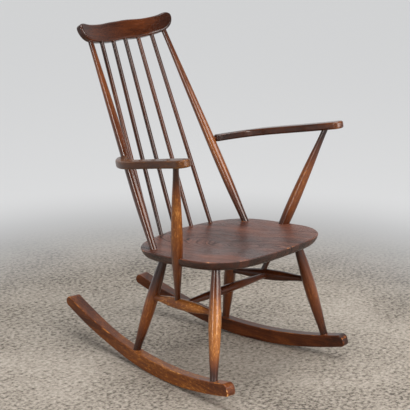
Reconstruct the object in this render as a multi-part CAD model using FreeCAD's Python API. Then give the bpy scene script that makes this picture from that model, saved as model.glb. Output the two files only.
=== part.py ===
import FreeCAD, Part
import math
import os

os.makedirs("parts", exist_ok=True)

# A spindle-back rocking chair in turned and bent wood, millimetres, +Z up.
# The chair faces -Y, +X is the sitter's left, and the origin lies on the
# floor under the middle of the chair's own box.

# Seat: one dished board, tilted down towards the back
seat_half_width = 229.5
seat_depth = 425.5
seat_front = -346.3
seat_height = 356.2
seat_slope = 4.6
seat_thickness = 30.0
seat_underside_inset = 32.0
seat_top_rounding = 2.5
seat_dish_depth = 10.0
seat_dish_half_width = 203.0
seat_dish_half_depth = 172.0
seat_dish_centre = -128.3

# Rockers: bars cut to a curve, toed in towards the back, thinner at both ends and
# wider at the tail; each rise is how far an edge has climbed at that end
rocker_front_rise = 44.5
rocker_front_top_rise = 39.2
rocker_back_rise = 99.3
rocker_back_top_rise = 90.7
rocker_height = 41.0
rocker_width = 30.0
rocker_tail_width = 39.0
rocker_rest = -69.6
rocker_front_reach = 303.7
rocker_back_reach = 449.0
rocker_nose_rounding = 16.0
rocker_chin_rounding = 9.0
rocker_tail_rounding = 14.0
rocker_plan_rounding = 10.0
rocker_arris = 3.0

# Legs: turned, thickest at the middle, a round tenon at each end
leg_foot_radius = 10.8
leg_belly_radius = 17.2
leg_head_radius = 11.6
leg_foot_tenon = 12.0
leg_head_tenon = 21.0
front_foot_x = 233.5
front_foot_y = -295.3
front_head_x = 167.0
front_head_y = -239.3
back_foot_x = 186.5
back_foot_y = 42.2
back_head_x = 142.0
back_head_y = -25.3

# Stretchers: an H of two side rails and one cross rail
side_stretcher_front_height = 231.5
side_stretcher_back_height = 207.0
side_stretcher_end_radius = 8.6
side_stretcher_belly_radius = 15.6
side_stretcher_tenon = 15.0
cross_stretcher_end_radius = 7.9
cross_stretcher_belly_radius = 12.0
cross_stretcher_tenon = 12.0
cross_stretcher_share = 0.51

# Back: two thick posts and five thin spindles, set in the seat on a curve
back_post_foot_x = 188.0
back_post_foot_y = -30.3
back_post_foot_radius = 10.5
back_post_belly_radius = 14.0
back_post_head_radius = 7.6
back_post_tenon = 22.0
spindle_foot_x = (0.0, 61.5, 120.0)
spindle_foot_y = (71.7, 66.7, 44.7)
spindle_foot_radius = 5.8
spindle_belly_radius = 6.3
spindle_head_radius = 6.1
spindle_tenon = 16.0

# Crest rail: bent to a curve in plan, with a horn at each end
crest_half_width = 178.0
crest_height = 59.0
crest_thickness = 22.0
crest_bend_radius = 590.0
crest_arris = 6.0
crest_y = 266.7
crest_z = 876.5
crest_rake = 27.9
crest_post_x = 144.5
crest_spindle_x = (0.0, 49.0, 98.5)
crest_spindle_forward = 2.2
crest_tenon = 17.0

# Arms: flat boards bent outward from the back posts and rising to the front
arm_thickness = 20.7
arm_slope = 11.5
arm_tip_reach = 57.0
arm_back_reach = 321.0
arm_back_half_width = 14.0
arm_middle_half_width = 19.5
arm_front_half_width = 21.0
arm_tip_shift = 14.0
arm_back_shift = 120.0
arm_arris = 5.5

# Arm posts: turned, thickest where they pass the notch in the seat's edge
arm_post_top_x = 302.0
arm_post_top_y = -227.3
arm_post_top_z = 641.2
arm_post_head_radius = 7.9
arm_post_belly_radius = 15.9
arm_post_foot_radius = 8.0
arm_post_head_tenon = 13.0
arm_post_foot_tenon = 12.0
arm_post_foot_share = 0.584

# Hidden dowels: they join the arms to the back posts and the arm posts to the seat
dowel_radius = 4.0
dowel_length = 34.0
arm_dowel_turn = 35.0

# Room left in the joints, the straight neck beside each shoulder, and the
# distance by which a cutter runs past the face that it cuts
glue_line = 0.1
socket_end_gap = 1.0
neck = 5.0
overrun = 15.0

# Shares that shape the outlines and the turned profiles
seat_outline_shares = (
    (0.45, 0.014), (0.71, 0.057), (0.90, 0.16), (0.975, 0.25), (1.0, 0.40), (1.0, 0.58),
    (0.985, 0.69), (0.93, 0.79), (0.80, 0.875), (0.60, 0.94), (0.30, 0.98),
)
seat_under_shares = ((0.0, 0.0), (0.33, 0.11), (0.67, 0.31), (0.90, 0.62), (1.0, 1.0))
crest_top_shares = (
    (0.0, 1.0), (0.26, 0.975), (0.44, 0.93), (0.60, 0.92), (0.80, 0.955), (0.935, 0.975),
)
crest_end_shares = ((0.99, 0.87), (0.988, 0.54), (0.905, 0.23))
crest_bottom_shares = ((0.78, 0.09), (0.55, 0.03), (0.34, 0.01), (0.15, 0.04), (0.0, 0.065))
arm_line_shares = (
    (0.0, 0.0), (0.09, 0.15), (0.168, 0.365), (0.213, 0.535),
    (0.258, 0.645), (0.332, 0.73), (0.47, 0.82), (1.0, 1.0),
)
arm_width_shares = (0.055, 0.22, 0.42, 0.62, 0.80, 0.962)
leg_shares = ((0.15, 0.33), (0.35, 0.80), (0.52, 1.0), (0.75, 0.66), (0.87, 0.34))
stretcher_shares = ((0.22, 0.62), (0.50, 1.0), (0.78, 0.62))
back_post_shares = ((0.13, 0.64), (0.30, 1.0), (0.52, 0.77), (0.78, 0.33))
spindle_shares = ((0.15, 0.7), (0.35, 1.0), (0.70, 0.6))
arm_post_shares = ((0.20, 0.52), (0.44, 1.0), (0.60, 0.84), (0.82, 0.38))
dish_rim_share = 0.35
dish_grid_steps = 12
rocker_under_share = 1.15
rocker_flare_shares = (0.45, 0.82)
rocker_curve_steps = 8
sharp_share = 0.8

Vector = FreeCAD.Vector
LEFT = 1
RIGHT = -1
SIDES = ((LEFT, "left"), (RIGHT, "right"))


def between(start, end, share):
    """The point at a share of the way from start to end."""
    return start + (end - start) * share


def mirrored(point, side):
    """A point given for the sitter's left, put on the wanted side."""
    return Vector(point.x * side, point.y, point.z)


def on_side(shape, side):
    """A shape made for the sitter's left, put on the wanted side."""
    return shape if side == LEFT else shape.mirror(Vector(0, 0, 0), Vector(1, 0, 0))


def rod(start, direction, length, radius):
    """A plain cylinder from start along direction."""
    return Part.makeCylinder(radius, length, start, direction)


def sharp_edges(solid):
    """The edges where two faces meet at an angle, without the seams of smooth faces."""
    found = []
    for edge in solid.Edges:
        middle = edge.valueAt((edge.FirstParameter + edge.LastParameter) / 2)
        normals = [
            face.normalAt(*face.Surface.parameter(middle))
            for face in solid.ancestorsOfType(edge, Part.Face)
        ]
        if len(normals) == 2 and normals[0].dot(normals[1]) < sharp_share:
            found.append(edge)
    return found


def socket(mouth, inward, depth, radius):
    """The cutter for a blind round socket, open past the mouth."""
    way = Vector(inward).normalize()
    return rod(mouth - way * overrun, way, depth + socket_end_gap + overrun, radius + glue_line)


def turned(start, end, foot, belly, head, shares, foot_tenon, head_tenon, slack=0.0):
    """A turned rod from start to end: foot, belly and head radii, and a tenon past each end.

    Each share pair is the place along the rod and how far the radius has
    gone from the nearer end's radius to the belly's."""
    length = (end - start).Length
    run = length - 2 * neck
    belly_place = max(shares, key=lambda pair: pair[1])[0]
    points = [Vector(foot + slack, 0, neck)]
    for place, fullness in shares:
        tip = foot if place <= belly_place else head
        points.append(Vector(tip + (belly - tip) * fullness + slack, 0, neck + run * place))
    points.append(Vector(head + slack, 0, length - neck))
    curve = Part.BSplineCurve()
    curve.interpolate(Points=points, InitialTangent=Vector(0, 0, 1), FinalTangent=Vector(0, 0, 1))
    foot_end = Vector(foot + slack, 0, -foot_tenon)
    head_end = Vector(head + slack, 0, length + head_tenon)
    foot_middle = Vector(0, 0, -foot_tenon)
    head_middle = Vector(0, 0, length + head_tenon)
    wire = Part.Wire([
        Part.makeLine(foot_middle, foot_end),
        Part.makeLine(foot_end, points[0]),
        curve.toShape(),
        Part.makeLine(points[-1], head_end),
        Part.makeLine(head_end, head_middle),
        Part.makeLine(head_middle, foot_middle),
    ])
    solid = Part.Face(wire).revolve(Vector(0, 0, 0), Vector(0, 0, 1), 360)
    solid.Placement = FreeCAD.Placement(start, FreeCAD.Rotation(Vector(0, 0, 1), end - start))
    return solid


def closed_spline(points):
    """A smooth closed wire through the points."""
    curve = Part.BSplineCurve()
    curve.interpolate(Points=points, PeriodicFlag=True)
    return Part.Wire([curve.toShape()])


def save(shape, node):
    """Checks a sub-part and writes its STEP file."""
    if not shape.isValid():
        raise ValueError(node + " is not a valid shape")
    shape.exportStep("parts/" + node + ".step")
    print(node, len(shape.Solids), "solid(s)", round(shape.Volume), "cubic mm")


# Seat
seat_place = FreeCAD.Placement(
    Vector(0, 0, seat_height),
    FreeCAD.Rotation(Vector(1, 0, 0), -seat_slope),
)
seat_normal = seat_place.Rotation.multVec(Vector(0, 0, 1))


def on_seat(x, y, drop=0.0):
    """A point of the seat's board, drop below its upper face."""
    return seat_place.multVec(Vector(x, y, -drop))


def seat_outline(height, inset=0.0):
    """The seat's egg-shaped outline at a height in the board's own frame."""
    middle = seat_front + seat_depth / 2
    half_width = seat_half_width - inset
    half_depth = seat_depth / 2 - inset
    shares = [(0.0, 0.0)] + list(seat_outline_shares) + [(0.0, 1.0)]
    shares += [(-across, back) for across, back in reversed(seat_outline_shares)]
    return closed_spline([
        Vector(across * half_width, middle + (2 * back - 1) * half_depth, height)
        for across, back in shares
    ])


def seat_dish():
    """Everything above the seat's hollow, as a cutter with a smooth underside."""
    reach_x = seat_half_width + overrun
    reach_y = seat_depth / 2 + overrun + abs(seat_dish_centre - seat_front - seat_depth / 2)
    rows = []
    for row in range(dish_grid_steps + 1):
        y = reach_y * (2 * row / dish_grid_steps - 1)
        line = []
        for column in range(dish_grid_steps + 1):
            x = reach_x * (2 * column / dish_grid_steps - 1)
            fill = 1 - (x / seat_dish_half_width) ** 2 - (y / seat_dish_half_depth) ** 2
            fall = fill * (dish_rim_share + (1 - dish_rim_share) * min(max(fill, 0), 1))
            line.append(Vector(x, seat_dish_centre + y, -seat_dish_depth * fall))
        rows.append(line)
    surface = Part.BSplineSurface()
    surface.interpolate(rows)
    return surface.toShape().extrude(Vector(0, 0, seat_thickness + 2 * overrun))


def seat_blank():
    """The board, undercut all round from its upper arris."""
    board = Part.makeLoft([
        seat_outline(-seat_thickness * drop, seat_underside_inset * inset)
        for drop, inset in seat_under_shares
    ], True)
    top = [edge for edge in board.Edges if abs(edge.BoundBox.ZMin) < glue_line]
    board = board.makeFillet(seat_top_rounding, top)
    board = board.cut(seat_dish())
    board.Placement = seat_place
    return board


# Rockers
rocker_toe = math.atan2(front_foot_x - back_foot_x, back_foot_y - front_foot_y)


def rocker_x(y):
    """The rocker's middle line in plan, straight through both feet."""
    return back_foot_x + (back_foot_y - y) * math.tan(rocker_toe)


def rocker_edges(along):
    """The heights of the lower and the upper edge at a distance behind the point of rest."""
    if along < 0:
        gone, rise, top_rise = along / rocker_front_reach, rocker_front_rise, rocker_front_top_rise
    else:
        gone, rise, top_rise = along / rocker_back_reach, rocker_back_rise, rocker_back_top_rise
    lower = rise * (rocker_under_share * gone ** 2 + (1 - rocker_under_share) * gone ** 4)
    return lower, rocker_height + top_rise * gone ** 2


def rocker_top(y):
    """The height of the rocker's upper edge at a place of the chair."""
    return rocker_edges((y - rocker_rest) / math.cos(rocker_toe))[1]


def rocker_side_form():
    """The bar's side view, wider than the bar itself, with its four corners rounded."""
    tilt_front = 2 * rocker_front_rise / rocker_front_reach
    tilt_back = 2 * rocker_back_rise / rocker_back_reach
    ends = (
        (-rocker_front_reach, rocker_back_reach),
        (-rocker_front_reach + tilt_front * rocker_height, rocker_back_reach - tilt_back * rocker_height),
    )
    edges = []
    for which, (front, back) in enumerate(ends):
        places = [front * (1 - step / rocker_curve_steps) for step in range(rocker_curve_steps)]
        places += [back * step / rocker_curve_steps for step in range(rocker_curve_steps + 1)]
        edges.append([Vector(0, along, rocker_edges(along)[which]) for along in places])
    under, over = edges
    lower = Part.BSplineCurve()
    lower.interpolate(Points=under)
    upper = Part.BSplineCurve()
    upper.interpolate(Points=over)
    wire = Part.Wire([
        lower.toShape(),
        Part.makeLine(under[-1], over[-1]),
        upper.toShape(),
        Part.makeLine(over[0], under[0]),
    ])
    form = Part.Face(wire).extrude(Vector(2 * rocker_tail_width, 0, 0))
    form.translate(Vector(-rocker_tail_width, 0, 0))
    roundings = (
        (over[0], rocker_nose_rounding), (under[0], rocker_chin_rounding),
        (over[-1], rocker_tail_rounding), (under[-1], rocker_tail_rounding),
    )
    for corner, radius in roundings:
        corners = [edge for edge in form.Edges if edge.CenterOfMass.distanceToPoint(corner) < glue_line]
        form = form.makeFillet(radius, corners)
    return form


def rocker_plan_form():
    """The bar's plan, higher than the bar itself: parallel, then wider to the tail."""
    start = rocker_back_reach * rocker_flare_shares[0]
    stop = rocker_back_reach * rocker_flare_shares[1]
    edges = []
    for side in (LEFT, RIGHT):
        narrow = rocker_width / 2 * side
        wide = rocker_tail_width / 2 * side
        flare = Part.BSplineCurve()
        flare.interpolate(
            Points=[Vector(narrow, start, 0), Vector(wide, stop, 0)],
            InitialTangent=Vector(0, 1, 0), FinalTangent=Vector(0, 1, 0))
        edges += [
            Part.makeLine(Vector(narrow, -rocker_front_reach, 0), Vector(narrow, start, 0)),
            flare.toShape(),
            Part.makeLine(Vector(wide, stop, 0), Vector(wide, rocker_back_reach, 0)),
        ]
    corners = []
    for place, width in ((-rocker_front_reach, rocker_width), (rocker_back_reach, rocker_tail_width)):
        ends = (Vector(-width / 2, place, 0), Vector(width / 2, place, 0))
        corners += ends
        edges.append(Part.makeLine(*ends))
    form = Part.Face(Part.Wire(Part.__sortEdges__(edges))).extrude(Vector(0, 0, 2 * rocker_back_rise))
    rise = Vector(0, 0, rocker_back_rise)
    upright = [
        edge for edge in form.Edges
        if min(edge.CenterOfMass.distanceToPoint(corner + rise) for corner in corners) < glue_line
    ]
    return form.makeFillet(rocker_plan_rounding, upright)


def rocker_blank(side):
    """The bar in its own upright plane, then set on its line."""
    bar = rocker_side_form().common(rocker_plan_form())
    bar = bar.makeFillet(rocker_arris, sharp_edges(bar))
    turn = FreeCAD.Rotation(Vector(0, 0, 1), math.degrees(rocker_toe) * side)
    bar.Placement = FreeCAD.Placement(Vector(rocker_x(rocker_rest) * side, rocker_rest, 0), turn)
    return bar


# Legs: the foot stands on the rocker and the head goes into the seat
leg_ends = {}
for end_name, foot_x, foot_y, head_x, head_y in (
    ("front", front_foot_x, front_foot_y, front_head_x, front_head_y),
    ("back", back_foot_x, back_foot_y, back_head_x, back_head_y),
):
    leg_ends[end_name] = (
        Vector(foot_x, foot_y, rocker_top(foot_y)),
        on_seat(head_x, head_y, seat_thickness),
    )


def leg_at_height(end_name, height):
    """The point of a leg's middle line at a height above the floor."""
    foot, head = leg_ends[end_name]
    return between(foot, head, (height - foot.z) / (head.z - foot.z))


# Stretchers run from leg to leg, and the cross rail from side to side
side_front = leg_at_height("front", side_stretcher_front_height)
side_back = leg_at_height("back", side_stretcher_back_height)
side_way = (side_back - side_front).normalize()
side_start = side_front + side_way * leg_belly_radius
side_end = side_back - side_way * leg_belly_radius
cross_middle = between(side_front, side_back, cross_stretcher_share)
cross_start = cross_middle - Vector(side_stretcher_belly_radius, 0, 0)

# Crest rail's own frame: across, up the rake, and out of its front face
crest_up = Vector(0, math.sin(math.radians(crest_rake)), math.cos(math.radians(crest_rake)))
crest_front = Vector(0, -math.cos(math.radians(crest_rake)), math.sin(math.radians(crest_rake)))
crest_place = FreeCAD.Placement(
    Vector(0, crest_y, crest_z),
    FreeCAD.Rotation(Vector(1, 0, 0), crest_front.negative(), crest_up, "ZXY"),
)


def in_crest(x, up):
    """A point on the crest rail's bent middle surface."""
    bow = crest_bend_radius - math.sqrt(crest_bend_radius ** 2 - x ** 2)
    return Vector(0, crest_y, crest_z) + Vector(x, 0, 0) + crest_up * up + crest_front * bow


def crest_foot_height(x):
    """How far up the rake the crest rail's lower edge lies at a distance from its middle."""
    places = [(across * crest_half_width, up * crest_height) for across, up in reversed(crest_bottom_shares)]
    for (x0, up0), (x1, up1) in zip(places, places[1:]):
        if x <= x1:
            break
    return up0 + (up1 - up0) * (x - x0) / (x1 - x0)


def crest_blank():
    half = list(crest_top_shares) + list(crest_end_shares) + list(crest_bottom_shares)
    other = [(-across, up) for across, up in reversed(half) if across > 0]
    rim = closed_spline([
        Vector(across * crest_half_width, 0, up * crest_height) for across, up in half + other
    ])
    deep = crest_bend_radius
    board = Part.Face(rim).extrude(Vector(0, 2 * deep, 0))
    board.translate(Vector(0, -deep, 0))
    centre = Vector(0, -crest_bend_radius, -crest_height)
    outer = rod(centre, Vector(0, 0, 1), 3 * crest_height, crest_bend_radius + crest_thickness / 2)
    inner = rod(centre, Vector(0, 0, 1), 3 * crest_height, crest_bend_radius - crest_thickness / 2)
    rail = board.common(outer.cut(inner))
    rail = Part.makeCompound([solid for solid in rail.Solids if solid.CenterOfMass.y > -crest_bend_radius / 2])
    rail = rail.Solids[0]
    rail = rail.makeFillet(crest_arris, rail.Edges)
    rail.Placement = crest_place
    return rail


# Arms: a local frame at the head of the arm post, on the arm's underside
arm_place = FreeCAD.Placement(
    Vector(arm_post_top_x, arm_post_top_y, arm_post_top_z),
    FreeCAD.Rotation(Vector(1, 0, 0), -arm_slope),
)


def arm_blank():
    """A flat board on a bent middle line, wider towards its front, with both ends half round."""
    reach = arm_tip_reach + arm_back_reach
    shift = arm_tip_shift + arm_back_shift
    line = Part.BSplineCurve()
    line.interpolate(Points=[
        Vector(arm_tip_shift - shift * across, reach * back - arm_tip_reach, 0) for across, back in arm_line_shares
    ])
    half_widths = (
        arm_front_half_width, arm_front_half_width, arm_middle_half_width,
        arm_middle_half_width, arm_back_half_width, arm_back_half_width,
    )
    middles = []
    ways = []
    outer = []
    inner = []
    for back, half_width in zip(arm_width_shares, half_widths):
        place = line.FirstParameter + (line.LastParameter - line.FirstParameter) * back
        along = line.tangent(place)[0]
        aside = Vector(-along.y, along.x, 0)
        middles.append(line.value(place))
        ways.append(along)
        outer.append(middles[-1] - aside * half_width)
        inner.append(middles[-1] + aside * half_width)
    sides = []
    for points in (outer, inner):
        side_edge = Part.BSplineCurve()
        side_edge.interpolate(Points=points, InitialTangent=ways[0], FinalTangent=ways[-1])
        sides.append(side_edge.toShape())
    tip = middles[0] - ways[0] * half_widths[0]
    tail = middles[-1] + ways[-1] * half_widths[-1]
    wire = Part.Wire([
        sides[0],
        Part.Arc(outer[-1], tail, inner[-1]).toShape(),
        sides[1].reversed(),
        Part.Arc(inner[0], tip, outer[0]).toShape(),
    ])
    board = Part.Face(wire).extrude(Vector(0, 0, arm_thickness))
    flat = [edge for edge in board.Edges if edge.BoundBox.ZLength < glue_line]
    board = board.makeFillet(arm_arris, flat)
    board.Placement = arm_place
    return board


# Arm posts run from the side stretcher, past the seat's edge, to the arm
arm_post_axis_foot = between(side_front, side_back, arm_post_foot_share)
arm_post_head = Vector(arm_post_top_x, arm_post_top_y, arm_post_top_z)
arm_post_way = (arm_post_head - arm_post_axis_foot).normalize()
arm_post_foot = arm_post_axis_foot + arm_post_way * side_stretcher_belly_radius

# Back posts and spindles: feet in the seat, heads in the crest rail
back_post_foot = on_seat(back_post_foot_x, back_post_foot_y)
back_post_head = in_crest(crest_post_x, crest_foot_height(crest_post_x))


def spindle_head(x):
    """Where a spindle meets the crest rail's lower edge, just ahead of its middle."""
    return in_crest(x, crest_foot_height(x)) + crest_front * crest_spindle_forward


spindle_ends = []
for place in (-2, -1, 0, 1, 2):
    side = LEFT if place >= 0 else RIGHT
    rank = abs(place)
    spindle_ends.append((
        on_seat(spindle_foot_x[rank] * side, spindle_foot_y[rank]),
        mirrored(spindle_head(crest_spindle_x[rank]), side),
    ))


def back_post(side, slack=0.0):
    return on_side(turned(
        back_post_foot, back_post_head,
        back_post_foot_radius, back_post_belly_radius, back_post_head_radius,
        back_post_shares, back_post_tenon, crest_tenon, slack), side)


def arm_post(side, slack=0.0):
    return on_side(turned(
        arm_post_foot, arm_post_head,
        arm_post_foot_radius, arm_post_belly_radius, arm_post_head_radius,
        arm_post_shares, arm_post_foot_tenon, arm_post_head_tenon, slack), side)


def dowel(middle, way):
    return rod(middle - way * (dowel_length / 2), way, dowel_length, dowel_radius)


def dowel_bore(middle, way):
    """The room for a dowel in the two pieces that it joins."""
    reach = dowel_length / 2 + socket_end_gap
    return rod(middle - way * reach, way, 2 * reach, dowel_radius + glue_line)


# Everything that is one of a pair is made for the left and for the right
seat = seat_blank()
crest = crest_blank()
arm_dowels = []
arm_post_dowels = []
for side, side_name in SIDES:
    rocker = rocker_blank(side)
    for end_name in ("front", "back"):
        foot, head = (mirrored(point, side) for point in leg_ends[end_name])
        leg = turned(foot, head, leg_foot_radius, leg_belly_radius, leg_head_radius,
                     leg_shares, leg_foot_tenon, leg_head_tenon)
        rocker = rocker.cut(socket(foot, foot - head, leg_foot_tenon, leg_foot_radius))
        seat = seat.cut(socket(head, head - foot, leg_head_tenon, leg_head_radius))
        if end_name == "front":
            mouth = mirrored(side_start, side)
            inward = mirrored(side_way.negative(), side)
        else:
            mouth = mirrored(side_end, side)
            inward = mirrored(side_way, side)
        leg = leg.cut(socket(mouth, inward, side_stretcher_tenon, side_stretcher_end_radius))
        save(leg, "leg_" + end_name + "_" + side_name)
    save(rocker, "rocker_" + side_name)

    stretcher = turned(
        mirrored(side_start, side), mirrored(side_end, side),
        side_stretcher_end_radius, side_stretcher_belly_radius, side_stretcher_end_radius,
        stretcher_shares, side_stretcher_tenon, side_stretcher_tenon)
    stretcher = stretcher.cut(socket(
        mirrored(cross_start, side), Vector(side, 0, 0), cross_stretcher_tenon, cross_stretcher_end_radius))
    stretcher = stretcher.cut(socket(
        mirrored(arm_post_foot, side), mirrored(arm_post_way.negative(), side),
        arm_post_foot_tenon, arm_post_foot_radius))
    save(stretcher, "side_stretcher_" + side_name)

    post = arm_post(side)
    seat = seat.cut(arm_post(side, glue_line))
    rise = (on_seat(0, 0, seat_thickness / 2) - arm_post_foot).dot(seat_normal) / arm_post_way.dot(seat_normal)
    inward = Vector(-side, 0, 0)
    middle = mirrored(arm_post_foot + arm_post_way * rise, side) + inward * arm_post_belly_radius
    arm_post_dowels.append(dowel(middle, inward))
    bore = dowel_bore(middle, inward)
    save(post.cut(bore), "arm_post_" + side_name)
    seat = seat.cut(bore)

    arm = on_side(arm_blank(), side)
    arm = arm.cut(socket(
        mirrored(arm_post_head, side), mirrored(arm_post_way, side),
        arm_post_head_tenon, arm_post_head_radius))
    arm = arm.cut(back_post(side, glue_line))
    level = arm_place.multVec(Vector(0, 0, arm_thickness / 2))
    arm_normal = arm_place.Rotation.multVec(Vector(0, 0, 1))
    rise = (level - back_post_foot).dot(arm_normal) / (back_post_head - back_post_foot).dot(arm_normal)
    turn = math.radians(arm_dowel_turn)
    forward = arm_place.Rotation.multVec(Vector(math.cos(turn), -math.sin(turn), 0))
    middle = mirrored(between(back_post_foot, back_post_head, rise) + forward * back_post_belly_radius, side)
    forward = mirrored(forward, side)
    arm_dowels.append(dowel(middle, forward))
    bore = dowel_bore(middle, forward)
    save(arm.cut(bore), "arm_" + side_name)
    save(back_post(side).cut(bore), "back_post_" + side_name)

    seat = seat.cut(socket(
        mirrored(back_post_foot, side), mirrored(back_post_foot - back_post_head, side),
        back_post_tenon, back_post_foot_radius))
    crest = crest.cut(socket(
        mirrored(back_post_head, side), mirrored(back_post_head - back_post_foot, side),
        crest_tenon, back_post_head_radius))

cross = turned(
    mirrored(cross_start, RIGHT), cross_start,
    cross_stretcher_end_radius, cross_stretcher_belly_radius, cross_stretcher_end_radius,
    stretcher_shares, cross_stretcher_tenon, cross_stretcher_tenon)
save(cross, "cross_stretcher")

for number, (foot, head) in enumerate(spindle_ends, start=1):
    spindle = turned(foot, head, spindle_foot_radius, spindle_belly_radius, spindle_head_radius,
                     spindle_shares, spindle_tenon, crest_tenon)
    seat = seat.cut(socket(foot, foot - head, spindle_tenon, spindle_foot_radius))
    crest = crest.cut(socket(head, head - foot, crest_tenon, spindle_head_radius))
    save(spindle, "spindle_" + str(number))

save(seat, "seat")
save(crest, "crest_rail")
save(Part.makeCompound(arm_dowels), "arm_dowels")
save(Part.makeCompound(arm_post_dowels), "arm_post_dowels")
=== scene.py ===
import math

import bmesh
import bpy
import numpy as np
from mathutils import Euler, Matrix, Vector
from mathutils.bvhtree import BVHTree


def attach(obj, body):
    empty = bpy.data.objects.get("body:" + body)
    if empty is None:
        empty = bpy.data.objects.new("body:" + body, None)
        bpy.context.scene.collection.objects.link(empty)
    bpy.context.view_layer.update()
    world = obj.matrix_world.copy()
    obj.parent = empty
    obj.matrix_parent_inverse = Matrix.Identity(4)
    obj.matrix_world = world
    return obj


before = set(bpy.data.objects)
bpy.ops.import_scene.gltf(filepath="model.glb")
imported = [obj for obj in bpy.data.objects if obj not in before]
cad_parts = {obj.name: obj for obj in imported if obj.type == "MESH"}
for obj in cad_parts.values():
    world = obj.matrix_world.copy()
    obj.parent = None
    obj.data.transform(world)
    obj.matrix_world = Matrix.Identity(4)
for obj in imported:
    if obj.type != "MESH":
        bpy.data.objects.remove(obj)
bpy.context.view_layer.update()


# Rockers
# Two bars of beech sawn to a curve and glued to the feet of the legs. The dark
# stain is rubbed through to the orange wood on every arris and at both ends.
def add(tree, kind, inputs=None, **settings):
    """Adds a shader node; an input takes a value or another node's output."""
    made = tree.nodes.new("ShaderNode" + kind)
    for name, value in settings.items():
        setattr(made, name, value)
    for name, value in (inputs or {}).items():
        socket = made.inputs[name]
        if isinstance(value, bpy.types.NodeSocket):
            tree.links.new(value, socket)
        else:
            socket.default_value = value
    return made


def maths(tree, operation, first, second=0.0, third=0.0):
    return add(tree, "Math", {0: first, 1: second, 2: third}, operation=operation).outputs[0]


def plus(tree, first, second):
    return maths(tree, "ADD", first, second)


def minus(tree, first, second):
    return maths(tree, "SUBTRACT", first, second)


def times(tree, first, second):
    return maths(tree, "MULTIPLY", first, second)


def swing(tree, pattern, amount):
    """Takes a pattern that runs from 0 to 1 and lets it swing to both sides of 0."""
    return times(tree, minus(tree, pattern, 0.5), amount)


def remap(tree, value, low, high, out_low=0.0, out_high=1.0):
    """Carries low..high smoothly over to out_low..out_high."""
    return add(tree, "MapRange", {0: value, 1: low, 2: high, 3: out_low, 4: out_high},
               interpolation_type="SMOOTHSTEP").outputs[0]


def ramp(tree, value, stops):
    """A colour for each place between the stops; a plain number is a grey."""
    made = add(tree, "ValToRGB", {0: value})
    band = made.color_ramp
    while len(band.elements) < len(stops):
        band.elements.new(0.5)
    for element, stop in zip(band.elements, stops):
        element.position = stop[0]
    for element, stop in zip(band.elements, stops):
        colour = (stop[1],) * 3 if isinstance(stop[1], float) else stop[1]
        element.color = (*colour, 1)
    return made.outputs[0]


def noise(tree, where, scale, detail=3.0, roughness=0.55, distortion=0.0):
    """Cloudy noise from 0 to 1, with scale as the number of clouds to the metre."""
    return add(tree, "TexNoise", {
        "Vector": where, "Scale": scale, "Detail": detail, "Roughness": roughness, "Distortion": distortion,
    }).outputs[0]


def stretch(tree, where, factors):
    """Draws a pattern out along the axes whose factors are under 1."""
    return add(tree, "VectorMath", {0: where, 1: factors}, operation="MULTIPLY").outputs[0]


def towards(tree, direction, way):
    """How far a direction points one way, from -1 to 1."""
    return add(tree, "VectorMath", {0: direction, 1: way}, operation="DOT_PRODUCT").outputs["Value"]


def corners(node):
    return np.array([corner.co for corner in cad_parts[node].data.vertices])


def middle_of(points):
    return (points.min(axis=0) + points.max(axis=0)) / 2


def rod_place(node):
    """The middle, the turn that lays local Z along the piece, and half its length."""
    points = corners(node)
    middle = middle_of(points)
    axis = Vector(np.linalg.svd(points - points.mean(axis=0), full_matrices=False)[2][0])
    # Local Z points up or, on a rod that is nearly level, to the back or the left.
    if axis.z + axis.y * 0.1 + axis.x * 0.01 < 0:
        axis.negate()
    half = np.abs((points - middle) @ np.array(axis)).max()
    return Vector(middle), axis.to_track_quat("Z", "Y").to_euler(), float(half)


def board_place(node, turn, along):
    """The same for a board with a known turn, whose length runs along one of its axes."""
    points = corners(node)
    middle = middle_of(points)
    turn = Euler([math.radians(angle) for angle in turn])
    axis = turn.to_matrix() @ Vector(along)
    half = np.abs((points - middle) @ np.array(axis)).max()
    return Vector(middle), turn, float(half)


def new_wood(name, middle, turn):
    """A new material, its nodes, the place along the piece's own axes, and the normal."""
    material = bpy.data.materials.new(name)
    material.use_nodes = True
    tree = material.node_tree
    coordinates = add(tree, "TexCoord")
    local = add(tree, "Mapping", {
        "Vector": coordinates.outputs["Object"], "Location": middle, "Rotation": turn,
    }, vector_type="TEXTURE").outputs[0]
    return material, tree, local, coordinates.outputs["Normal"]


def finish_wood(tree, colour, roughness, height, strength, depth):
    """Gives the shader the wood's colour, its gloss and the relief of its grain."""
    shader = tree.nodes["Principled BSDF"]
    relief = add(tree, "Bump", {"Strength": strength, "Distance": depth, "Height": height}).outputs[0]
    tree.links.new(colour, shader.inputs["Base Color"])
    tree.links.new(roughness, shader.inputs["Roughness"])
    tree.links.new(relief, shader.inputs["Normal"])
    return shader


def dress(node, material):
    """Gives a CAD piece its finish."""
    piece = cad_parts[node]
    piece.data.materials.clear()
    piece.data.materials.append(material)


# Beech from whole dark stain to bare wood.
STAIN = (
    (0.00, (0.010, 0.0034, 0.0018)),
    (0.16, (0.030, 0.0074, 0.0024)),
    (0.34, (0.080, 0.0195, 0.0042)),
    (0.52, (0.160, 0.045, 0.0078)),
    (0.70, (0.31, 0.110, 0.019)),
    (0.86, (0.48, 0.205, 0.050)),
    (1.00, (0.64, 0.34, 0.12)),
)
# Each pattern of the finish: how many of its marks go into a metre, by what share
# the grain draws them out, and how strongly they turn the stain.
PATCHES, PATCH_DRAW, PATCH_DEPTH = 26.0, 0.22, 3.2
STREAKS, STREAK_DRAW, STREAK_DEPTH = 330.0, 0.035, 2.4
FIBRES, FIBRE_DEPTH = 1500.0, 1.1
SPECKS, SPECK_DRAW = 190.0, 0.4
CHIPS = 50.0
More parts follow.
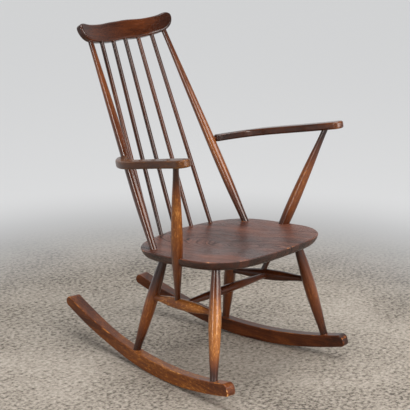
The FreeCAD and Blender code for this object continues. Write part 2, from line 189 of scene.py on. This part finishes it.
# Each piece is cut from another place of the same pattern, this far on for each
# step of its seed.
SEED_SHIFT = (0.37, 0.71, 0.53)
GRAIN_STRENGTH, GRAIN_DEPTH = 0.25, 0.0006
LACQUER_SHINE, COAT_ROUGHNESS = 0.15, 0.12


def aged_wood(name, place, wear, seed, grain_axis=2, patch=0.16, streak=0.11, flecks=0.2,
              gloss=0.3, coat=0.45, arrises=(), stain=STAIN):
    """Stained and lacquered beech that has been worn by hands, feet and floor.

    place is the piece's middle, turn and half length. wear gives how far the
    stain is rubbed off at places from one end, 0, to the other, 1. patch, streak
    and flecks are the strength of the patterns, gloss is the roughness of whole
    lacquer, and coat is how much lacquer is left. Each arris is a way across the
    piece, the band of facing that way which marks the rounded edges, and how far
    they are rubbed."""
    middle, turn, half = place
    material, tree, local, normal = new_wood(name, middle, turn)
    shift = add(tree, "VectorMath", {0: local, 1: [seed * share for share in SEED_SHIFT]}, operation="ADD")

    def drawn_out(share):
        factors = [1.0, 1.0, 1.0]
        factors[grain_axis] = share
        return stretch(tree, shift.outputs[0], factors)

    patch_place = drawn_out(PATCH_DRAW)
    streak_place = drawn_out(STREAK_DRAW)
    patches = noise(tree, patch_place, PATCHES, detail=4.0, roughness=0.6, distortion=0.4)
    streaks = noise(tree, streak_place, STREAKS, detail=3.0, roughness=0.6)
    fibres = noise(tree, streak_place, FIBRES, detail=2.0, roughness=0.5)
    specks = noise(tree, drawn_out(SPECK_DRAW), SPECKS, detail=3.0, roughness=0.65)

    grain_place = add(tree, "SeparateXYZ", {0: local}).outputs[grain_axis]
    base = ramp(tree, maths(tree, "MULTIPLY_ADD", grain_place, 0.5 / half, 0.5), wear)
    tone = plus(tree, base, swing(tree, patches, patch * PATCH_DEPTH))
    tone = plus(tree, tone, swing(tree, streaks, streak * STREAK_DEPTH))
    tone = plus(tree, tone, swing(tree, fibres, streak * FIBRE_DEPTH))
    # Flecks of bare wood show most where the stain is already thin.
    fleck_share = remap(tree, base, 0.25, 0.65, flecks * 0.25, flecks)
    tone = plus(tree, tone, times(tree, remap(tree, specks, 0.50, 0.66), fleck_share))
    for way, low, high, amount in arrises:
        facing = maths(tree, "ABSOLUTE", towards(tree, normal, turn.to_matrix() @ Vector(way)))
        band = times(tree, remap(tree, facing, low, low + 0.2), remap(tree, facing, high, high - 0.12))
        broken = remap(tree, noise(tree, patch_place, CHIPS, detail=4.0, roughness=0.7), 0.45, 0.63)
        tone = plus(tree, tone, times(tree, times(tree, band, broken), amount))

    # Bare wood is duller than lacquer, and the patches break the shine.
    roughness = plus(tree, remap(tree, tone, 0.2, 0.8, gloss, gloss + 0.2), swing(tree, patches, 0.3))
    height = plus(tree, times(tree, streaks, 0.5), times(tree, specks, 0.7))
    shader = finish_wood(tree, ramp(tree, tone, stain), roughness, height, GRAIN_STRENGTH, GRAIN_DEPTH)
    shader.inputs["Specular IOR Level"].default_value = LACQUER_SHINE
    shader.inputs["Coat Weight"].default_value = coat
    shader.inputs["Coat Roughness"].default_value = COAT_ROUGHNESS
    return material


ROCKER_TOE = 7.93
ROCKER_ARRISES = (((1, 0, 0), 0.12, 0.97, 0.34), ((0, 1, 0), 0.5, 0.97, 0.55))
for side, turn, seed, wear in (
    ("right", -ROCKER_TOE, 3, (
        (0.0, 0.34), (0.04, 0.46), (0.2, 0.52), (0.5, 0.48), (0.8, 0.38), (0.93, 0.26), (1.0, 0.42))),
    ("left", ROCKER_TOE, 8, (
        (0.0, 0.08), (0.03, 0.12), (0.08, 0.27), (0.3, 0.3), (0.7, 0.26), (0.95, 0.26), (1.0, 0.36))),
):
    node = "rocker_" + side
    dress(node, aged_wood(
        "worn_" + node, board_place(node, (0, 0, turn), (0, 1, 0)), wear, seed, grain_axis=1,
        patch=0.24, streak=0.17, flecks=0.26, gloss=0.36, coat=0.35, arrises=ROCKER_ARRISES))

# Legs
# Four beech legs turned on a lathe, thickest at the middle. They are glued into
# blind sockets in the seat and in the rockers. Shoes have rubbed the front ones.
for end, side, seed, flecks, wear in (
    ("front", "right", 11, 0.2, (
        (0.0, 0.1), (0.1, 0.17), (0.2, 0.52), (0.3, 0.64),
        (0.5, 0.66), (0.64, 0.56), (0.78, 0.34), (1.0, 0.1))),
    ("front", "left", 12, 0.14, (
        (0.0, 0.14), (0.2, 0.34), (0.45, 0.46), (0.7, 0.34), (0.9, 0.15), (1.0, 0.08))),
    ("back", "right", 13, 0.14, (
        (0.0, 0.14), (0.12, 0.2), (0.28, 0.46), (0.5, 0.5), (0.64, 0.26), (0.8, 0.12), (1.0, 0.06))),
    ("back", "left", 14, 0.14, (
        (0.0, 0.2), (0.3, 0.36), (0.6, 0.36), (0.85, 0.22), (1.0, 0.12))),
):
    node = "leg_%s_%s" % (end, side)
    dress(node, aged_wood("worn_" + node, rod_place(node), wear, seed, flecks=flecks, coat=0.75))

# Side stretchers
# A turned rail of beech on each side, glued into the two legs. It carries the foot
# of the arm post and one end of the cross rail. Feet have worn the right one most.
for side, seed, wear in (
    ("right", 21, ((0.0, 0.42), (0.2, 0.66), (0.5, 0.54), (0.8, 0.66), (1.0, 0.4))),
    ("left", 22, ((0.0, 0.16), (0.5, 0.2), (1.0, 0.14))),
):
    node = "side_stretcher_" + side
    dress(node, aged_wood("worn_" + node, rod_place(node), wear, seed, patch=0.2, flecks=0.24))

# Cross stretcher
# One turned rail of beech between the two side rails, glued into a socket in
# each. Few feet reach it, so most of its stain is left.
dress("cross_stretcher", aged_wood(
    "worn_cross_stretcher", rod_place("cross_stretcher"),
    ((0.0, 0.24), (0.25, 0.2), (0.6, 0.27), (1.0, 0.18)), 25))


# Seat
# One board of elm with its grain from front to back, dished and undercut with
# hand tools. Dark stain fills its open grain, and its arris is rubbed bare.
SEAT_TILT = -4.6
ELM = (
    (0.00, (0.010, 0.0048, 0.0034)),
    (0.20, (0.034, 0.0105, 0.0058)),
    (0.42, (0.086, 0.0255, 0.0135)),
    (0.62, (0.150, 0.050, 0.025)),
    (0.82, (0.34, 0.13, 0.042)),
    (1.00, (0.60, 0.31, 0.12)),
)
# The growth rings stand as arches round the heart of the board, which lies to
# the sitter's right of the middle and runs a little aslant.
HEART_PLACE = (-0.045, 0.114, 0.0)
HEART_TURN = math.radians(9.8)
HEART_SLOPE, HEART_RISE, HEART_SHAKE = 0.28, 0.075, 0.012
RINGS, UNEVEN_PITCH, UNEVEN_YEARS = 250.0, 0.45, 1.8
# The other patterns: their marks in a metre, the share by which the grain draws
# them out, and then how far they move the rings or darken the board.
WAVES, WAVE_DRAW, WAVE_SWING = 12.0, 0.4, 0.034
SHAKES, SHAKE_DRAW, SHAKE_SWING = 75.0, 0.3, 0.007
PORES, PORE_DRAW, PORE_DARKNESS = 900.0, 0.05, 0.26
FIGURE, FIGURE_DRAW = 15.0, 0.3
BLEACHED, SEAT_CHIPS = 14.0, 19.0
# How much painted shade darkens the undercut side, and how far the arris is rubbed bare.
UNDERCUT_PAINTED_SHADE, ARRIS_RUBBED = 0.15, 0.55
ELM_STRENGTH, ELM_DEPTH = 0.6, 0.0008


def elm_seat(middle, turn):
    """Elm with its growth rings, open pores, faded places and a rubbed arris."""
    material, tree, local, normal = new_wood("elm_seat", middle, turn)

    # The year of a ring is its distance from the heart, made wavy and uneven.
    wavy = noise(tree, stretch(tree, local, (1.0, WAVE_DRAW, 1.0)), WAVES, detail=3.0, roughness=0.5)
    shaky = noise(tree, stretch(tree, local, (1.0, SHAKE_DRAW, 1.0)), SHAKES, detail=3.0, roughness=0.6)
    parts = add(tree, "SeparateXYZ", {0: add(tree, "Mapping", {
        "Vector": local, "Location": HEART_PLACE, "Rotation": (0, 0, HEART_TURN),
    }, vector_type="TEXTURE").outputs[0]})
    waved = plus(tree, parts.outputs[0], swing(tree, wavy, WAVE_SWING))
    beside = plus(tree, waved, swing(tree, shaky, SHAKE_SWING))
    heart = maths(tree, "MULTIPLY_ADD", parts.outputs[1], HEART_SLOPE, HEART_RISE)
    heart = plus(tree, heart, swing(tree, shaky, HEART_SHAKE))
    ring = maths(tree, "SQRT", plus(tree, times(tree, beside, beside), times(tree, heart, heart)))
    years = times(tree, ring, RINGS)
    pitch = times(tree, years, UNEVEN_PITCH)
    uneven = add(tree, "TexNoise", {"W": pitch, "Detail": 2.0}, noise_dimensions="1D")
    years = plus(tree, years, times(tree, uneven.outputs[0], UNEVEN_YEARS))
    growth = maths(tree, "FRACT", years)
    lines = ramp(tree, growth, ((0.0, 0.0), (0.12, 0.9), (0.24, 1.0), (0.36, 0.4), (0.52, 0.1), (1.0, 0.0)))
    strength = add(tree, "TexWhiteNoise", {"W": maths(tree, "FLOOR", years)}, noise_dimensions="1D")
    lines = times(tree, lines, remap(tree, strength.outputs["Value"], 0.1, 0.7, 0.25, 1.0))

    # Pores open most where a ring is dark. The rings fade away from the heart and
    # in bleached patches, and a broad figure clouds the whole board.
    pores = noise(tree, stretch(tree, local, (1.0, PORE_DRAW, 1.0)), PORES, detail=2.0, roughness=0.6)
    open_pores = times(tree, remap(tree, pores, 0.50, 0.62), remap(tree, lines, 0.0, 0.8, 0.25, 1.0))
    figure_place = stretch(tree, local, (1.0, FIGURE_DRAW, 1.0))
    figure = noise(tree, figure_place, FIGURE, detail=4.0, roughness=0.6, distortion=0.6)
    near_heart = times(tree, remap(tree, beside, -0.17, -0.02), remap(tree, beside, 0.20, 0.05))
    bleached = noise(tree, local, BLEACHED, detail=3.0, roughness=0.6)
    fade = times(tree, remap(tree, bleached, 0.34, 0.56, 0.3, 1.0),
                 plus(tree, times(tree, near_heart, 0.65), 0.35))
    faded_lines = times(tree, lines, fade)
    tone = minus(tree, remap(tree, figure, 0.3, 0.7, 0.30, 0.60), faded_lines)
    tone = minus(tree, tone, times(tree, open_pores, PORE_DARKNESS))

    # The undercut side, which faces down, is darkened as painted shade, and the arris above it is rubbed in
    # places.
    upward = towards(tree, normal, turn.to_matrix() @ Vector((0, 0, 1)))
    tone = minus(tree, tone, times(tree, remap(tree, upward, 0.45, 0.1), UNDERCUT_PAINTED_SHADE))
    band = times(tree, remap(tree, upward, 0.05, 0.3), remap(tree, upward, 0.97, 0.86))
    broken = remap(tree, noise(tree, local, SEAT_CHIPS, detail=4.0, roughness=0.72), 0.52, 0.66)
    tone = plus(tree, tone, times(tree, times(tree, band, broken), ARRIS_RUBBED))

    # Stain that has sunk in is dull, and the open grain lies lower.
    sunk = maths(tree, "MAXIMUM", open_pores, faded_lines)
    roughness = plus(tree, remap(tree, figure, 0.3, 0.7, 0.24, 0.34), times(tree, sunk, 0.48))
    hollows = plus(tree, times(tree, open_pores, 0.9), times(tree, lines, 0.5))
    height = minus(tree, times(tree, figure, 0.3), hollows)
    finish_wood(tree, ramp(tree, tone, ELM), roughness, height, ELM_STRENGTH, ELM_DEPTH)
    return material


seat_middle, seat_turn = board_place("seat", (SEAT_TILT, 0, 0), (1, 0, 0))[:2]
dress("seat", elm_seat(seat_middle, seat_turn))

# Arm posts
# A turned post on each side runs from the side rail past a notch in the seat's
# edge up to the arm. A hidden dowel pins it to the seat.
for side, seed, wear in (
    ("right", 31, (
        (0.0, 0.2), (0.2, 0.34), (0.36, 0.38), (0.5, 0.52),
        (0.68, 0.62), (0.8, 0.5), (0.9, 0.18), (1.0, 0.1))),
    ("left", 32, (
        (0.0, 0.14), (0.36, 0.22), (0.5, 0.42), (0.68, 0.52), (0.86, 0.24), (0.95, 0.1), (1.0, 0.08))),
):
    node = "arm_post_" + side
    dress(node, aged_wood("worn_" + node, rod_place(node), wear, seed, coat=0.75))


def dowel_wood(name, node, seed):
    """Beech dowels that lie from side to side, soaked through with glue and stain."""
    return aged_wood(name, board_place(node, (0, 0, 0), (1, 0, 0)), ((0.0, 0.26), (1.0, 0.3)), seed,
                     grain_axis=0, patch=0.05, streak=0.08, flecks=0.0, gloss=0.55, coat=0.0)


dress("arm_post_dowels", dowel_wood("plain_dowel", "arm_post_dowels", 35))

# Back posts
# Two thick turned posts of beech, raked and tapered, glued into the seat and the
# crest rail. Their lacquer is whole, over thin stain in the left one's lower half.
for side, seed, wear in (
    ("right", 41, (
        (0.0, 0.2), (0.2, 0.26), (0.42, 0.26), (0.56, 0.38), (0.76, 0.46), (0.92, 0.34), (1.0, 0.1))),
    ("left", 42, (
        (0.0, 0.12), (0.1, 0.26), (0.3, 0.52), (0.5, 0.5), (0.75, 0.42), (0.93, 0.28), (1.0, 0.12))),
):
    node = "back_post_" + side
    dress(node, aged_wood(
        "worn_" + node, rod_place(node), wear, seed, patch=0.13, flecks=0.1, gloss=0.22, coat=1.0))

# Spindles
# Five thin turned rods of beech fan from the seat's back edge up to the crest
# rail, glued into a socket at each end. They are dark, and darkest at the ends.
for number, seed, level in ((1, 51, 0.26), (2, 52, 0.16), (3, 53, 0.2), (4, 54, 0.27), (5, 55, 0.24)):
    node = "spindle_%d" % number
    wear = ((0.0, level - 0.1), (0.2, level), (0.7, level + 0.04), (1.0, level - 0.08))
    dress(node, aged_wood(
        "worn_" + node, rod_place(node), wear, seed, patch=0.12, flecks=0.08, gloss=0.24, coat=0.6))

# Crest rail
# A beech board bent to the sitter's back, with a raised horn at each end. Hands
# have kept the middle amber, and the ends are nearly black.
CREST_RAKE = -27.9
dress("crest_rail", aged_wood(
    "worn_crest", board_place("crest_rail", (CREST_RAKE, 0, 0), (1, 0, 0)),
    ((0.0, 0.12), (0.12, 0.16), (0.3, 0.14), (0.5, 0.24), (0.72, 0.28), (0.9, 0.12), (1.0, 0.06)), 61,
    grain_axis=0, patch=0.15, flecks=0.12, gloss=0.25, coat=0.6, arrises=(((0, 1, 0), 0.2, 0.9, 0.1),)))

# Arms
# Two flat beech boards, bent outward from the back posts and rounded at the
# front. Each is doweled to its back post, and the arm post's tenon holds the tip.
ARM_SLOPE = -11.5
# The right arm is duller and more olive, where its lacquer has worn thin.
for side, seed, gloss, coat, green, wear in (
    ("right", 71, 0.4, 0.3, 1.22, (
        (0.0, 0.40), (0.1, 0.30), (0.3, 0.26), (0.6, 0.28), (0.85, 0.34), (1.0, 0.28))),
    ("left", 72, 0.28, 0.7, 1.0, (
        (0.0, 0.34), (0.1, 0.2), (0.35, 0.16), (0.6, 0.2), (1.0, 0.1))),
):
    node = "arm_" + side
    stain = [(at, (red * 0.94, middling * green, blue * green)) for at, (red, middling, blue) in STAIN]
    dress(node, aged_wood(
        "worn_" + node, board_place(node, (ARM_SLOPE, 0, 0), (0, 1, 0)), wear, seed, grain_axis=1, patch=0.18,
        flecks=0.26, gloss=gloss, coat=coat, arrises=(((0, 0, 1), 0.2, 0.93, 0.16),), stain=stain))
dress("arm_dowels", dowel_wood("plain_arm_dowel", "arm_dowels", 75))


# Lacquer beads
# A thin ring of glue and hardened lacquer left where each turned piece enters a
# board. It follows the board's surface and has gathered dark dirt.
BEAD_RADIUS = 0.0008
BEAD_STEPS = 48
BEAD_SIDES = 8
# The rod's skin is found from outside, clear of the socket at its end. The board
# is then found along the rod, just off its skin, and the ring lies against both.
CLEAR_OF_SOCKET = 0.055
OUTSIDE = 0.06
OFF_THE_ROD = 0.0006
SHORT_OF_BOARD = 0.001


def surface(node):
    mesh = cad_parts[node].data
    places = [corner.co for corner in mesh.vertices]
    return BVHTree.FromPolygons(places, [face.vertices for face in mesh.polygons])


def bead_ring(form, rod, board, end):
    """Adds a ring to form round the rod's end, 1 for the upper and -1 for the lower."""
    middle, turn, half = rod_place(rod)
    axis = turn.to_matrix() @ Vector((0, 0, end))
    away = turn.to_matrix() @ Vector((1, 0, 0))
    over = axis.cross(away)
    rod_skin, board_skin = surface(rod), surface(board)
    near = middle + axis * (half - CLEAR_OF_SOCKET)
    rings = []
    for step in range(BEAD_STEPS):
        angle = math.tau * step / BEAD_STEPS
        outward = away * math.cos(angle) + over * math.sin(angle)
        skin = rod_skin.ray_cast(near + outward * OUTSIDE, -outward)[0]
        touch = board_skin.ray_cast(skin + outward * OFF_THE_ROD, axis)[0]
        if touch is None:
            continue
        level = middle + axis * ((touch - middle).dot(axis) - SHORT_OF_BOARD)
        skin = rod_skin.ray_cast(level + outward * OUTSIDE, -outward)[0]
        centre = skin + axis * BEAD_RADIUS
        swell = BEAD_RADIUS * (1.0 + 0.25 * math.sin(angle * 3 + half * 900) + 0.15 * math.sin(angle * 7))
        rings.append([
            form.verts.new(centre + outward * (math.cos(turned) * swell) + axis * (math.sin(turned) * swell))
            for turned in (math.tau * side / BEAD_SIDES for side in range(BEAD_SIDES))])
    for this, following in zip(rings, rings[1:] + rings[:1]):
        for side in range(BEAD_SIDES):
            form.faces.new((this[side], this[side - 1], following[side - 1], following[side]))


form = bmesh.new()
for side in ("left", "right"):
    bead_ring(form, "back_post_" + side, "seat", -1)
    bead_ring(form, "back_post_" + side, "crest_rail", 1)
    bead_ring(form, "arm_post_" + side, "arm_" + side, 1)
    for end in ("front", "back"):
        bead_ring(form, "leg_%s_%s" % (end, side), "rocker_" + side, -1)
        bead_ring(form, "leg_%s_%s" % (end, side), "seat", 1)
for number in range(1, 6):
    bead_ring(form, "spindle_%d" % number, "seat", -1)
    bead_ring(form, "spindle_%d" % number, "crest_rail", 1)
bmesh.ops.recalc_face_normals(form, faces=form.faces)
mesh = bpy.data.meshes.new("lacquer_beads")
form.to_mesh(mesh)
form.free()
mesh.shade_smooth()
beads = bpy.data.objects.new("lacquer_beads", mesh)
bpy.context.scene.collection.objects.link(beads)
CHAIR_HALF_HEIGHT = 0.47
chair_place = (Vector((0, 0, CHAIR_HALF_HEIGHT)), Euler((0, 0, 0)), CHAIR_HALF_HEIGHT)
mesh.materials.append(aged_wood(
    "bead_lacquer", chair_place, ((0.0, 0.30), (0.4, 0.36), (1.0, 0.24)), 81,
    patch=0.35, flecks=0.3, gloss=0.2, coat=0.8))
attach(beads, "root")

# The stage
# A wide floor of worn concrete under the chair that fades to a pale wall colour
# all round, so that every view has a quiet background.
FLOOR_HALF = 14.0
# How far from the chair the concrete starts to fade, where it has gone, and
# where the wall's colour is whole.
FADE_START, STONE_END, WALL_START = 0.65, 1.5, 1.9
GRIT, CLOUDS = 85.0, 2.5
CONCRETE = (
    (0.40, (0.06, 0.05, 0.038)),
    (0.455, (0.19, 0.165, 0.135)),
    (0.51, (0.275, 0.245, 0.205)),
    (0.64, (0.42, 0.38, 0.33)),
)
FAR_GREY = (0.11, 0.11, 0.11, 1)
WALL_WHITE, WALL_STRENGTH = (0.98, 0.99, 1.0, 1), 0.57
mesh = bpy.data.meshes.new("floor")
form = bmesh.new()
bmesh.ops.create_grid(form, x_segments=1, y_segments=1, size=FLOOR_HALF)
form.to_mesh(mesh)
form.free()
floor = bpy.data.objects.new("floor", mesh)
bpy.context.scene.collection.objects.link(floor)
floor_paint = bpy.data.materials.new("floor_paint")
floor_paint.use_nodes = True
tree = floor_paint.node_tree
shader = tree.nodes["Principled BSDF"]
ground = add(tree, "TexCoord").outputs["Object"]
distance = add(tree, "VectorMath", {0: ground}, operation="LENGTH").outputs["Value"]
grit = noise(tree, ground, GRIT, detail=4.0, roughness=0.7)
cloud = noise(tree, ground, CLOUDS, detail=4.0, roughness=0.6)
stone = ramp(tree, plus(tree, times(tree, grit, 0.7), times(tree, cloud, 0.3)), CONCRETE)
far = remap(tree, distance, FADE_START, STONE_END)
floor_colour = add(tree, "Mix", {0: far, 6: stone, 7: FAR_GREY}, data_type="RGBA").outputs[2]
# The far floor is pale to the camera and in what shines or is clear, but it
# throws no light on the chair.
path = add(tree, "LightPath").outputs
seen = maths(tree, "MAXIMUM", path["Is Camera Ray"],
             maths(tree, "MAXIMUM", path["Is Glossy Ray"], path["Is Transmission Ray"]))
glow = times(tree, times(tree, seen, remap(tree, distance, FADE_START, WALL_START)), WALL_STRENGTH)
tree.links.new(floor_colour, shader.inputs["Base Color"])
tree.links.new(glow, shader.inputs["Emission Strength"])
shader.inputs["Emission Color"].default_value = WALL_WHITE
shader.inputs["Roughness"].default_value = 0.8
mesh.materials.append(floor_paint)

# Light
# A plain room: tall windows in front and at both sides, a soft ceiling, dim light
# from all round, and more from the pale wall behind, which the seat reflects.
ROOM_WHITE = (0.81, 0.82, 0.83, 1)
WALL_WAY = (0.72, 0.67, 0.18)
world = bpy.data.worlds.new("room")
bpy.context.scene.world = world
world.use_nodes = True
tree = world.node_tree
backdrop = tree.nodes["Background"]
backdrop.inputs["Color"].default_value = ROOM_WHITE
look_way = add(tree, "TexCoord").outputs["Generated"]
facing_wall = towards(tree, look_way, WALL_WAY)
skyward = add(tree, "SeparateXYZ", {0: look_way}).outputs[2]
# The wall gives a broad soft light from its own side. A pale band all round
# meets the floor's far end, so that no dark edge shows there.
wall_light = remap(tree, facing_wall, 0.1, 0.8, 0.10, 0.86)
horizon_light = remap(tree, skyward, 0.22, 0.42, 0.66, 0.10)
tree.links.new(maths(tree, "MAXIMUM", wall_light, horizon_light), backdrop.inputs["Strength"])


def lamp(name, place, aim, width, height, power, tint=(1.0, 1.0, 1.0)):
    """A soft oblong lamp, its power in watts, which the camera doesn't see."""
    light = bpy.data.lights.new(name, "AREA")
    light.shape = "RECTANGLE"
    light.size = width
    light.size_y = height
    light.energy = power
    light.color = tint
    holder = bpy.data.objects.new(name, light)
    bpy.context.scene.collection.objects.link(holder)
    holder.location = place
    holder.rotation_euler = (Vector(aim) - Vector(place)).to_track_quat("-Z", "Y").to_euler()
    holder.visible_camera = False


ABOVE_SEAT, UNDER_SEAT = (0, 0, 0.5), (0, 0, 0.3)
lamp("left_window", (-3.7, -0.5, 1.8), ABOVE_SEAT, width=0.5, height=2.6, power=62, tint=(1.0, 0.93, 0.88))
lamp("front_window", (-0.3, -3.8, 1.9), ABOVE_SEAT, width=2.6, height=2.8, power=155, tint=(1.0, 0.92, 0.87))
lamp("right_window", (1.9, -3.4, 1.9), ABOVE_SEAT, width=0.25, height=2.8, power=22, tint=(1.0, 0.98, 0.96))
lamp("ceiling", (-0.3, -0.4, 3.6), UNDER_SEAT, width=2.6, height=2.6, power=120)

# Camera
# A long lens at the height of a standing eye, in front of the chair and to its
# right, turned towards it and dropped so that the seat shows from above.
EYE = (-2.6964, -2.5629, 1.4738)
LOOK_TURN = math.radians(-46.97)
LOOK_DROP = math.radians(15.55)
FILM_WIDTH, LENS = 36, 120.3
camera_data = bpy.data.cameras.new("camera")
camera_data.sensor_width = FILM_WIDTH
camera_data.lens = LENS
camera = bpy.data.objects.new("camera", camera_data)
bpy.context.scene.collection.objects.link(camera)
camera.location = EYE
camera.rotation_euler = (math.radians(90) - LOOK_DROP, 0, LOOK_TURN)
bpy.context.scene.camera = camera
bpy.context.scene.view_settings.view_transform = "Standard"
